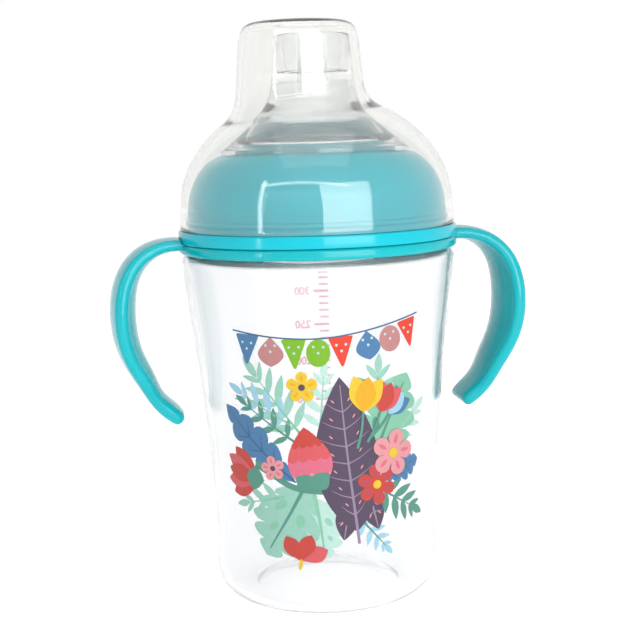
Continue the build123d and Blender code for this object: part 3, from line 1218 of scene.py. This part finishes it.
@dataclass
class Wrap:
    """Lays flat print outlines on the bottle's outside."""

    bottle: Bottle
    finishes: Finishes
    turn: float = FRONT_TURN
    film: float = 0.05
    layer_step: float = 0.025
    cut: float = 2.0

    def onto_wall(self, across: float, height: float, lift: float) -> Vector:
        """Moves a flat point onto the wall."""
        radius = self.bottle.radius_at(height)
        angle = math.radians(self.turn) + across / radius
        reach = (radius + lift) * MM
        return Vector((reach * math.sin(angle), -reach * math.cos(angle), height * MM))

    def flat_mesh(self, shapes: Sequence[Sequence[Point]]) -> bmesh.types.BMesh:
        """Fills outlines and cuts them into strips narrow enough to bend.

        Args:
            shapes: Closed outlines, in millimetres.

        Returns:
            The flat faces.
        """
        work = bmesh.new()
        for shape in shapes:
            corners = [Vector((x, y, 0)) for x, y in shape]
            made = [work.verts.new(corner) for corner in corners]
            for triangle in tessellate_polygon([corners]):
                if len(set(triangle)) == 3:
                    try:
                        work.faces.new([made[index] for index in triangle])
                    except ValueError:
                        continue
        self.slice(work)
        return work

    def slice(self, work: bmesh.types.BMesh) -> None:
        """Cuts flat faces along upright and level lines.

        Args:
            work: The flat faces.
        """
        for axis in (Vector((1, 0, 0)), Vector((0, 1, 0))):
            values = [vert.co.dot(axis) for vert in work.verts]
            step = math.floor(min(values) / self.cut) + 1
            while step * self.cut < max(values):
                geometry = [*work.verts, *work.edges, *work.faces]
                bmesh.ops.bisect_plane(work, geom=geometry, plane_co=axis * step * self.cut, plane_no=axis)
                step += 1

    def lay(self, name: str, shapes: Sequence[Sequence[Point]], ink: Ink, layer: int) -> None:
        """Prints outlines of one colour on the wall.

        Args:
            name: Name of the piece.
            shapes: Closed outlines in (distance round the wall, height), in millimetres.
            ink: Their colour.
            layer: Print order, from 0.
        """
        work = self.flat_mesh(shapes)
        lift = self.film + self.layer_step * layer
        for vert in work.verts:
            vert.co = self.onto_wall(vert.co.x, vert.co.y, lift)
        bmesh.ops.recalc_face_normals(work, faces=work.faces)
        work.faces.ensure_lookup_table()
        outward = sum(face.normal.dot(face.calc_center_median() * Vector((1, 1, 0))) for face in work.faces)
        if outward < 0:
            bmesh.ops.reverse_faces(work, faces=work.faces)
        piece = new_piece(name, finished_mesh(name, work, 180.0, False))
        settle(piece, Body.BOTTLE, self.finishes.ink(ink))


@dataclass
class Picture:
    """Jungle garden of leaves and flowers, with a row of party shapes over it."""

    wrap: Wrap
    count: int = 0

    def lay(self, what: str, shapes: Sequence[Sequence[Point]], ink: Ink, layer: int) -> None:
        """Prints shapes under a running number."""
        self.count += 1
        self.wrap.lay(f"print_{self.count:02d}_{what}", shapes, ink, layer)

    def party_row(self) -> None:
        """Prints a string of bunting: rounded pennants, drops and discs with tiny dots."""
        row = (
            (-22.2, 82.0, 7.4, 9.0, -3, Ink.DENIM, Bunting.PENNANT),
            (-14.6, 81.4, 7.2, 9.0, 0, Ink.DUSTY, Bunting.DROP),
            (-7.6, 81.0, 7.0, 9.0, 2, Ink.LIME, Bunting.PENNANT),
            (-0.8, 81.0, 6.8, 9.0, -2, Ink.LIME, Bunting.DISC),
            (5.8, 81.4, 6.8, 9.0, 3, Ink.SCARLET, Bunting.PENNANT),
            (13.6, 82.6, 6.8, 8.8, 8, Ink.DENIM, Bunting.DROP),
            (20.6, 83.8, 7.0, 8.6, 10, Ink.DUSTY, Bunting.DISC),
            (27.0, 85.0, 6.4, 8.6, 12, Ink.SCARLET, Bunting.PENNANT),
        )
        for x, z, width, height, tilt, ink, kind in row:
            self.lay("bunting", [turned(kind.shape(width, height), (x, z), tilt)], ink, 4)
            places = [(dx * width, dz * height) for dx, dz in ((-0.2, 0.2), (0.2, 0.2), (0, 0))]
            dots = [turned(turned(oval(0.8, 0.8, 12), place), (x, z), tilt) for place in places]
            self.lay("bunting_dots", dots, Ink.PALE_MINT, 5)
        string = ribbon(((-27.0, 87.2), (-14.0, 85.6), (0.0, 85.2), (14.0, 87.0), (30.5, 90.4)), 0.45, 1.0)
        self.lay("bunting_string", [string], Ink.NAVY, 5)

    def frond(
        self,
        at: Point,
        turn: float,
        length: float,
        pairs: int,
        size: Point,
        inks: tuple[Ink, Ink],
        layer: int,
    ) -> None:
        """Prints a stem with pairs of slim leaflets.

        Args:
            at: Foot of the stem.
            turn: Degrees anticlockwise from upright.
            length: Length of the stem.
            pairs: Number of leaflet pairs.
            size: Length and width of the longest leaflets.
            inks: Colours of the leaflets and of the stem.
            layer: Print order.
        """
        leaflets = []
        for index in range(pairs):
            share = (index + 0.6) / pairs
            swell = 0.65 + 0.35 * math.sin(math.pi * min(1.0, share + 0.1))
            for side in (-1, 1):
                shape = leaf(size[0] * swell, size[1] * swell, 0.08 * side)
                spot = turned([(0, length * share * 0.95)], at, turn)[0]
                leaflets.append(turned(shape, spot, turn - side * (58 - 26 * share)))
        tip = turned([(0, length * 0.95)], at, turn)[0]
        leaflets.append(turned(leaf(size[0] * 0.8, size[1]), tip, turn))
        self.lay("frond", leaflets, inks[0], layer)
        stem = turned(ribbon(((0, 0), (0, length * 0.5), (0, length)), 0.8), at, turn)
        self.lay("frond_stem", [stem], inks[1], layer + 1)

    def split_leaf(
        self,
        at: Point,
        turn: float,
        length: float,
        width: float,
        inks: tuple[Ink, Ink, Ink],
        layer: int,
    ) -> None:
        """Prints a broad leaf with slits along its edge and a few holes.

        Args:
            at: Foot of the leaf.
            turn: Degrees anticlockwise from upright.
            length: Base to tip.
            width: Across its widest part.
            inks: Colours of the blade, of its shaded spots and of its rib.
            layer: Print order.
        """
        blade = leaf(length, width, 0.04, 0.40, 5, 0.42, 0.35)
        self.lay("split_leaf", [turned(blade, at, turn)], inks[0], layer)
        spots = []
        for x, z, w, h, tilt in (
            (-0.16, 0.42, 0.09, 0.15, 30),
            (0.17, 0.36, 0.08, 0.17, -25),
            (0.13, 0.63, 0.07, 0.12, -30),
            (-0.12, 0.68, 0.06, 0.10, 30),
        ):
            spot = turned(oval(w * width * 1.3, h * length), (x * width, z * length), tilt)
            spots.append(turned(spot, at, turn))
        self.lay("split_leaf_spots", spots, inks[1], layer + 1)
        knots = ((0, -length * 0.12), (length * 0.005, length * 0.4), (length * 0.035, length * 0.9))
        rib = ribbon(knots, 1.3)
        self.lay("split_leaf_rib", [turned(rib, at, turn)], inks[2], layer + 1)

    def lobed_leaf(
        self,
        at: Point,
        turn: float,
        length: float,
        width: float,
        inks: tuple[Ink, Ink],
        layer: int,
    ) -> None:
        """Prints a long scalloped leaf with its midrib and veins.

        Args:
            at: Foot of the leaf.
            turn: Degrees anticlockwise from upright.
            length: Base to tip.
            width: Across its widest part.
            inks: Colours of the blade and of its veins.
            layer: Print order.
        """
        blade = leaf(length, width, 0.05, 0.5, 5, 0.4, 0.25)
        self.lay("lobed_leaf", [turned(blade, at, turn)], inks[0], layer)
        veins = [ribbon(((0, 0), (0.01 * length, length * 0.5), (0.045 * length, length * 0.93)), 0.55)]
        for share in (0.25, 0.42, 0.6):
            for side in (-1, 1):
                foot = (0.02 * length * share, length * share)
                end = (foot[0] + side * width * 0.28, foot[1] + length * 0.1)
                middle = ((foot[0] + end[0]) / 2, (foot[1] + end[1]) / 2 + 0.1)
                veins.append(ribbon((foot, middle, end), 0.4))
        for vein in veins:
            self.lay("lobed_leaf_vein", [turned(vein, at, turn)], inks[1], layer + 1)

    def bloom(
        self,
        at: Point,
        turn: float,
        petals: int,
        radius: float,
        inks: tuple[Ink, Ink, Ink],
        layer: int,
    ) -> None:
        """Prints an open flower with streaked petals and a dotted heart.

        Args:
            at: Middle of the flower.
            turn: Degrees anticlockwise.
            petals: Number of petals.
            radius: Middle to the tip of a petal.
            inks: Colours of the petals, of their streaks and of the heart.
            layer: Print order.
        """
        self.lay("bloom", [turned(flower(petals, radius, 0.42, 0.42), at, turn)], inks[0], layer)
        streaks = []
        for index in range(petals):
            shape = turned(leaf(radius * 0.45, radius * 0.16), (0, radius * 0.38))
            streaks.append(turned(turned(shape, (0, 0), 360 * index / petals), at, turn))
        self.lay("bloom_streaks", streaks, inks[1], layer + 1)
        self.lay("bloom_heart", [turned(oval(radius * 0.42, radius * 0.42), at)], inks[2], layer + 2)

    def plum_leaf(
        self,
        at: Point,
        turn: float,
        length: float,
        width: float,
        layer: int,
        pairs: int = 7,
    ) -> None:
        """Prints a tall pointed plum leaf with a pale rib, slanting veins and small dashes.

        Args:
            at: Foot of the leaf.
            turn: Degrees anticlockwise from upright.
            length: Base to tip.
            width: Across its widest part.
            layer: Print order.
            pairs: Pairs of veins.
        """
        self.lay("plum_leaf", [turned(leaf(length, width, 0.03, 0.44), at, turn)], Ink.PLUM, layer)
        knots = ((0, -length * 0.08), (length * 0.008, length * 0.5), (length * 0.027, length * 0.95))
        veins = [ribbon(knots, 0.9)]
        dashes = []
        for index in range(1, pairs + 1):
            share = index / (pairs + 2)
            reach = width * 0.40 * math.sin(math.pi * share**0.85)
            foot = (0.03 * length * share**2, length * share)
            for side in (-1, 1):
                end = (foot[0] + side * reach, foot[1] + length * 0.07)
                middle = (foot[0] + side * reach * 0.5, foot[1] + length * 0.028)
                veins.append(ribbon((foot, middle, end), 0.42))
                spot = (foot[0] + side * reach * 0.55, foot[1] + length * 0.075)
                dashes.append(turned(turned(oval(0.42, 1.4, 12), spot, -side * 40), at, turn))
        for vein in veins:
            self.lay("plum_leaf_vein", [turned(vein, at, turn)], Ink.LILAC, layer + 1)
        self.lay("plum_leaf_dashes", dashes, Ink.BLUSH, layer + 1)

    def tulip(self, at: Point, turn: float, height: float, inks: tuple[Ink, Ink, Ink], layer: int) -> None:
        """Prints a cupped flower of three petals on a short stem.

        Args:
            at: Foot of the flower.
            turn: Degrees anticlockwise from upright.
            height: Height of its petals.
            inks: Colours of the side petals, the middle petal and the stem.
            layer: Print order.
        """
        stem = ribbon(((0, -height), (0.4, -height / 2), (0, 0)), 0.9, 0.8)
        self.lay("tulip_stem", [turned(stem, at, turn)], inks[2], layer)
        sides = []
        for side in (-1, 1):
            petal = leaf(height, height * 0.55, side * 0.14, 0.5)
            sides.append(turned(turned(petal, (0, 0), -side * 16), at, turn))
        self.lay("tulip_sides", sides, inks[0], layer + 1)
        heart = leaf(height * 0.94, height * 0.56, 0, 0.48)
        self.lay("tulip_heart", [turned(heart, at, turn)], inks[1], layer + 2)

    def ginger_bud(self, at: Point, turn: float, length: float, width: float, layer: int) -> None:
        """Prints a banded bud whose scalloped rows darken towards the tip, in a green cup.

        Args:
            at: Foot of the bud.
            turn: Degrees anticlockwise from upright.
            length: Foot to tip.
            width: Across its widest part.
            layer: Print order.
        """
        whole = leaf(length, width, 0, 0.42)
        self.lay("ginger_bud", [turned(whole, at, turn)], Ink.BLUSH, layer)
        for index, (low, ink) in enumerate(((0.24, Ink.PINK), (0.46, Ink.ROSE), (0.70, Ink.RED))):
            upper = [point for point in whole if point[1] >= length * low]
            left = sorted((point for point in upper if point[0] < 0), key=lambda point: point[1])
            right = sorted((point for point in upper if point[0] >= 0), key=lambda point: -point[1])
            start, end = right[-1], left[0]
            scallops = []
            for step in range(1, 32):
                share = step / 32
                dip = -0.9 * abs(math.sin(4 * math.pi * share))
                level = start[1] + (end[1] - start[1]) * share
                scallops.append((start[0] + (end[0] - start[0]) * share, level + dip))
            self.lay("ginger_band", [turned(left + right + scallops, at, turn)], ink, layer + 1 + index)
        for side in (-1, 1):
            sepal = leaf(length * 0.34, width * 0.42, side * 0.2)
            self.lay("ginger_cup", [turned(sepal, at, turn - side * 38)], Ink.PINE, layer + 4)

    def build(self) -> None:
        """Prints the whole picture from the back layer to the front."""
        self.party_row()
        self.frond((-6.5, 57.0), 38, 22.0, 5, (9.6, 2.6), (Ink.MINT, Ink.SAGE), 0)
        self.frond((-9.5, 60.0), 62, 18.0, 4, (8.0, 2.3), (Ink.SKY, Ink.MINT), 0)
        self.frond((16.0, 66.0), -4, 8.0, 2, (8.0, 2.4), (Ink.MINT, Ink.SAGE), 0)
        self.frond((-1.0, 57.0), -5, 17.0, 4, (7.4, 2.2), (Ink.PALE_MINT, Ink.MINT), 0)
        self.frond((21.0, 54.0), -52, 12.0, 3, (7.0, 2.2), (Ink.PALE_MINT, Ink.MINT), 0)
        self.frond((-12.0, 38.0), 104, 13.0, 3, (7.0, 2.2), (Ink.MINT, Ink.SAGE), 0)
        self.frond((-8.0, 54.5), 56, 19.5, 4, (6.2, 1.9), (Ink.PINE, Ink.PINE), 1)
        self.split_leaf((13.4, 46.0), -24, 30.0, 20.0, (Ink.SAGE, Ink.PINE, Ink.PINE), 1)
        self.split_leaf((-5.5, 42.0), 152, 26.0, 22.0, (Ink.MINT, Ink.SAGE, Ink.PINE), 1)
        self.split_leaf((-3.0, 38.0), 190, 19.0, 15.0, (Ink.PALE_MINT, Ink.MINT, Ink.SAGE), 0)
        self.lobed_leaf((-8.5, 42.5), 50, 32.0, 11.0, (Ink.DENIM, Ink.NAVY), 2)
        self.lobed_leaf((17.0, 42.0), -72, 15.0, 9.0, (Ink.DENIM, Ink.NAVY), 2)
        branch = ribbon(((-21.0, 47.4), (-16.0, 44.8), (-8.5, 40.8), (3.0, 39.2)), 2.4, 0.6)
        self.lay("branch", [branch], Ink.PINE, 3)
        self.frond((16.5, 39.0), -122, 15.0, 4, (7.4, 2.6), (Ink.PINE, Ink.PINE), 2)
        self.frond((10.0, 31.0), -140, 13.0, 4, (5.0, 1.8), (Ink.SKY, Ink.PINE), 1)
        self.plum_leaf((9.2, 27.0), 7, 47.0, 19.0, 4)
        self.plum_leaf((7.0, 36.0), 172, 11.5, 7.0, 2, 2)
        self.plum_leaf((13.0, 38.0), 196, 11.5, 7.0, 2, 2)
        self.tulip((19.8, 61.4), -44, 8.6, (Ink.DENIM, Ink.SKY, Ink.PINE), 6)
        self.tulip((17.0, 62.4), -26, 9.6, (Ink.ROSE, Ink.RED, Ink.PINE), 9)
        self.tulip((11.6, 63.0), -10, 11.0, (Ink.YELLOW, Ink.AMBER, Ink.PINE), 12)
        self.ginger_bud((-3.0, 40.4), 8, 19.0, 13.0, 7)
        self.bloom((-5.8, 71.0), 0, 5, 4.6, (Ink.YELLOW, Ink.AMBER, Ink.PLUM), 7)
        self.bloom((-15.4, 46.4), 12, 5, 3.8, (Ink.BLUSH, Ink.PINK, Ink.PLUM), 5)
        self.bloom((15.6, 40.6), 8, 6, 6.2, (Ink.RED, Ink.CRIMSON, Ink.YELLOW), 6)
        self.bloom((21.2, 49.4), -14, 5, 7.2, (Ink.BLUSH, Ink.PINK, Ink.YELLOW), 9)
        side_petals = (
            (48, 13.0, Ink.RED),
            (118, 12.0, Ink.RED),
            (66, 14.0, Ink.ROSE),
            (98, 13.0, Ink.ROSE),
            (82, 12.6, Ink.RED),
        )
        for order, (tilt, length, ink) in enumerate(side_petals):
            petal = leaf(length, 5.2, 0.05, 0.62)
            self.lay("side_petal", [turned(petal, (-19.6, 42.4), tilt)], ink, 3 + order)
        self.lay("side_cup", [turned(leaf(6.4, 6.8, 0, 0.5), (-18.4, 42.4), 82)], Ink.PINE, 8)
        for order, (tilt, ink) in enumerate(((-64, Ink.ROSE), (34, Ink.RED), (-20, Ink.RED))):
            self.lay("low_petal", [turned(leaf(8.6, 5.0, 0.05, 0.6), (-7.6, 18.6), tilt)], ink, 4 + order)
        self.lay("low_seed", [turned(oval(1.2, 3.4), (-7.8, 17.6), -10)], Ink.YELLOW, 7)


@dataclass
class Scale:
    """Capacity scale on the back of the body, in millilitres: short and long ticks with numbers.

    The allowance is the drink that a thicker base and wall than the modelled ones would displace.
    """

    bottle: Bottle
    wrap: Wrap
    first: int = 50
    last: int = 330
    fine: int = 10
    coarse: int = 50
    allowance: float = 14.0
    short_tick: tuple[float, float] = (3.4, 0.6)
    short_shift: float = -1.5
    long_tick: tuple[float, float] = (5.4, 0.8)
    long_shift: float = -0.5
    number_size: float = 3.7
    number_shift: float = 3.2
    number_weight: float = 0.1

    def build(self) -> None:
        """Prints a tick every ten millilitres and a number every fifty."""
        ticks = []
        for volume in range(self.first, self.last + 1, self.fine):
            height = self.bottle.fill_height(volume + self.allowance)
            if volume % self.coarse:
                ticks.append(turned(dash(*self.short_tick), (self.short_shift, height)))
            else:
                ticks.append(turned(dash(*self.long_tick), (self.long_shift, height)))
                self.number(volume, height)
        self.wrap.lay("scale_ticks", ticks, Ink.SCALE_PINK, 0)

    def number(self, volume: int, height: float) -> None:
        """Prints one number beside its tick, in the plain built-in face.

        Args:
            volume: The number, in millilitres.
            height: Height of its tick, in millimetres.
        """
        text = bpy.data.curves.new("scale_text", "FONT")
        text.body = str(volume)
        text.size = self.number_size
        text.offset = self.number_weight
        text.align_x = "LEFT"
        text.align_y = "CENTER"
        carrier = bpy.data.objects.new("scale_text", text)
        bpy.context.scene.collection.objects.link(carrier)
        bpy.context.view_layer.update()
        graph = bpy.context.evaluated_depsgraph_get()
        flat = bpy.data.meshes.new_from_object(carrier.evaluated_get(graph))
        bpy.data.objects.remove(carrier)
        work = bmesh.new()
        work.from_mesh(flat)
        for vert in work.verts:
            vert.co = Vector((vert.co.x + self.number_shift, vert.co.y + height, 0))
        self.wrap.slice(work)
        for vert in work.verts:
            vert.co = self.wrap.onto_wall(vert.co.x, vert.co.y, self.wrap.film)
        name = f"scale_number_{volume}"
        piece = new_piece(name, finished_mesh(name, work, 180.0, False))
        settle(piece, Body.BOTTLE, self.wrap.finishes.ink(Ink.SCALE_PINK))


# ---------------------------------------------------------------- studio


@dataclass(frozen=True)
class Softbox:
    """A rectangular soft light aimed at the cup."""

    name: str
    azimuth: float
    elevation: float
    distance: float
    size: tuple[float, float]
    power: float

    def build(self, target: Vector) -> None:
        """Adds the light; azimuth 0 stands before the printed picture.

        Args:
            target: Place that the light is aimed at, in metres.
        """
        light = bpy.data.lights.new(self.name, "AREA")
        light.shape = "RECTANGLE"
        light.size, light.size_y = self.size
        light.energy = self.power
        holder = bpy.data.objects.new(self.name, light)
        bpy.context.scene.collection.objects.link(holder)
        angle = math.radians(FRONT_TURN + self.azimuth)
        rise = math.radians(self.elevation)
        away = Vector((math.sin(angle) * math.cos(rise), -math.cos(angle) * math.cos(rise), math.sin(rise)))
        holder.location = target + away * self.distance
        holder.rotation_euler = away.to_track_quat("Z", "Y").to_euler()
        holder.visible_camera = False


@dataclass
class Studio:
    """Pale floor, white surroundings, soft lights and the camera."""

    distance: float = 0.400
    eye_height: float = 0.143
    pitch: float = -8.296
    roll: float = 1.75
    lens: float = 73.3
    sensor: float = 36.0
    nearest: float = 0.01
    fill: float = 0.38
    bounces: int = 24
    aim_height: float = 0.11
    floor_reach: float = 3.0
    floor_cells: int = 24
    floor_gap: float = 0.0002
    lights: tuple[Softbox, ...] = (
        Softbox("softbox_right", 25, 12, 0.60, (0.44, 0.42), 3.0),
        Softbox("strip_left", -46, 12, 0.60, (0.035, 0.46), 0.40),
        Softbox("bar_over", -10, 33, 0.60, (0.78, 0.03), 0.45),
        Softbox("softbox_top", 0, 75, 0.70, (0.60, 0.60), 0.9),
    )

    def build(self) -> None:
        """Builds the studio round the cup."""
        self.floor()
        self.surroundings()
        for light in self.lights:
            light.build(Vector((0, 0, self.aim_height)))
        self.camera()

    def floor(self) -> None:
        """Lays the floor as a finely ruled sheet."""
        work = bmesh.new()
        cells = self.floor_cells
        bmesh.ops.create_grid(work, x_segments=cells, y_segments=cells, size=self.floor_reach)
        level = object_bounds()[0][2] - self.floor_gap
        for vert in work.verts:
            vert.co.z = level
        sheet = new_piece("studio_floor", finished_mesh("studio_floor", work, 180.0, False))
        sheet.data.materials.append(FloorPaint().material())
        sheet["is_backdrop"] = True

    def surroundings(self) -> None:
        """Lights the scene evenly from all round, and shows whites as they are."""
        world = bpy.data.worlds.new("white_surroundings")
        world.use_nodes = True
        nodes, links = world.node_tree.nodes, world.node_tree.links
        nodes["Background"].inputs["Color"].default_value = (1, 1, 1, 1)
        softer = nodes.new("ShaderNodeMapRange")
        softer.inputs["To Min"].default_value = 1.0
        softer.inputs["To Max"].default_value = self.fill
        links.new(nodes.new("ShaderNodeLightPath").outputs["Is Diffuse Ray"], softer.inputs["Value"])
        links.new(softer.outputs["Result"], nodes["Background"].inputs["Strength"])
        scene = bpy.context.scene
        scene.world = world
        scene.view_settings.view_transform = "Standard"
        scene.cycles.max_bounces = self.bounces
        scene.cycles.transmission_bounces = self.bounces
        scene.cycles.transparent_max_bounces = self.bounces

    def camera(self) -> None:
        """Sets the camera up before the printed picture, a little above the handles and slightly rolled."""
        turn, pitch, roll = (math.radians(value) for value in (FRONT_TURN, self.pitch, self.roll))
        level = Vector((-math.sin(turn), math.cos(turn), 0))
        ahead = level * math.cos(pitch) + Vector((0, 0, math.sin(pitch)))
        right = ahead.cross(Vector((0, 0, 1))).normalized()
        over = right.cross(ahead)
        right, over = (
            right * math.cos(roll) - over * math.sin(roll),
            over * math.cos(roll) + right * math.sin(roll),
        )
        place = Vector((math.sin(turn) * self.distance, -math.cos(turn) * self.distance, self.eye_height))
        data = bpy.data.cameras.new("portrait")
        data.lens = self.lens
        data.sensor_width = self.sensor
        data.clip_start = self.nearest
        holder = bpy.data.objects.new("portrait", data)
        bpy.context.scene.collection.objects.link(holder)
        columns = (right, over, -ahead, place)
        rows = [[column[row] for column in columns] for row in range(3)]
        holder.matrix_world = Matrix([*rows, [0, 0, 0, 1]])
        bpy.context.scene.camera = holder


def main() -> None:
    """Builds every piece of the cup and its studio in order."""
    logging.basicConfig(level=logging.INFO, format="%(name)s: %(message)s")
    finishes = Finishes()
    bottle = Bottle(finishes)
    steps: list[tuple[str, Callable[[], None]]] = [
        ("bottle", bottle.build),
        ("handle ring", HandleRing(finishes).build),
        ("screw collar", Collar(finishes).build),
        ("spout", Spout(finishes).build),
        ("dome cap", DomeCap(finishes).build),
        ("printed picture", Picture(Wrap(bottle, finishes)).build),
        ("capacity scale", Scale(bottle, Wrap(bottle, finishes, FRONT_TURN + 180)).build),
        ("studio", Studio().build),
    ]
    for name, build in steps:
        build()
        log.info("built the %s", name)


if __name__ == "__main__":
    main()
